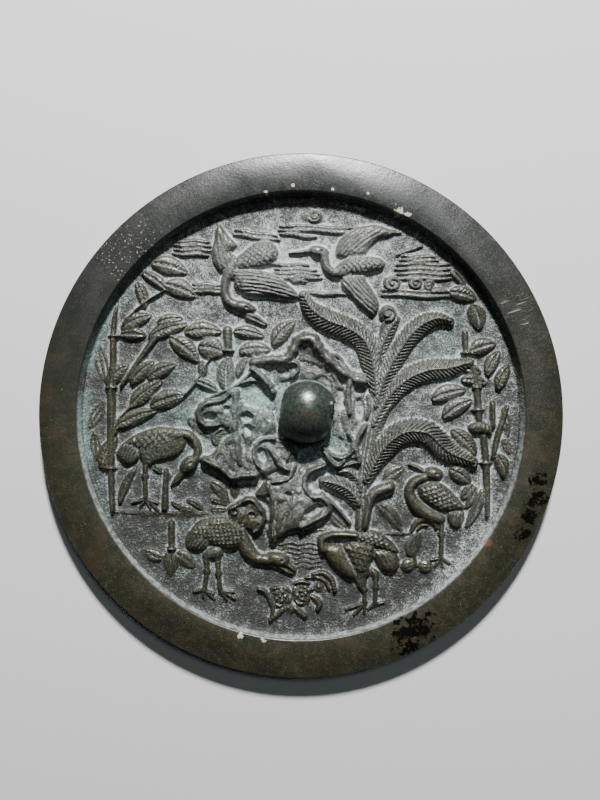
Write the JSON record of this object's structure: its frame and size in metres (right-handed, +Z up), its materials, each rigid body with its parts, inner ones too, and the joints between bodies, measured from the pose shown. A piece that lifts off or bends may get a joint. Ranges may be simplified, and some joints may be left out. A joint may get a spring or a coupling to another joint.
{
  "type": "ancient bronze mirror",
  "caption": "Round cast bronze hand mirror with cranes, bamboo, a palm and a garden rock in relief on its back, a raised flat rim and a pierced dome knob for a cord.",
  "frame": {"origin": "centre of the flat reflecting face, which the mirror lies on", "axes": "+Z up out of the carved back, +Y to the top of the carved scene, +X to its right, along the cord hole"},
  "size_m": [0.196, 0.196, 0.0168],
  "materials": {
    "bronze": "worn cast bronze with pale green patina"
  },
  "bodies": {
    "root": {"bronze_mirror": "bronze"}
  },
  "joints": []
}
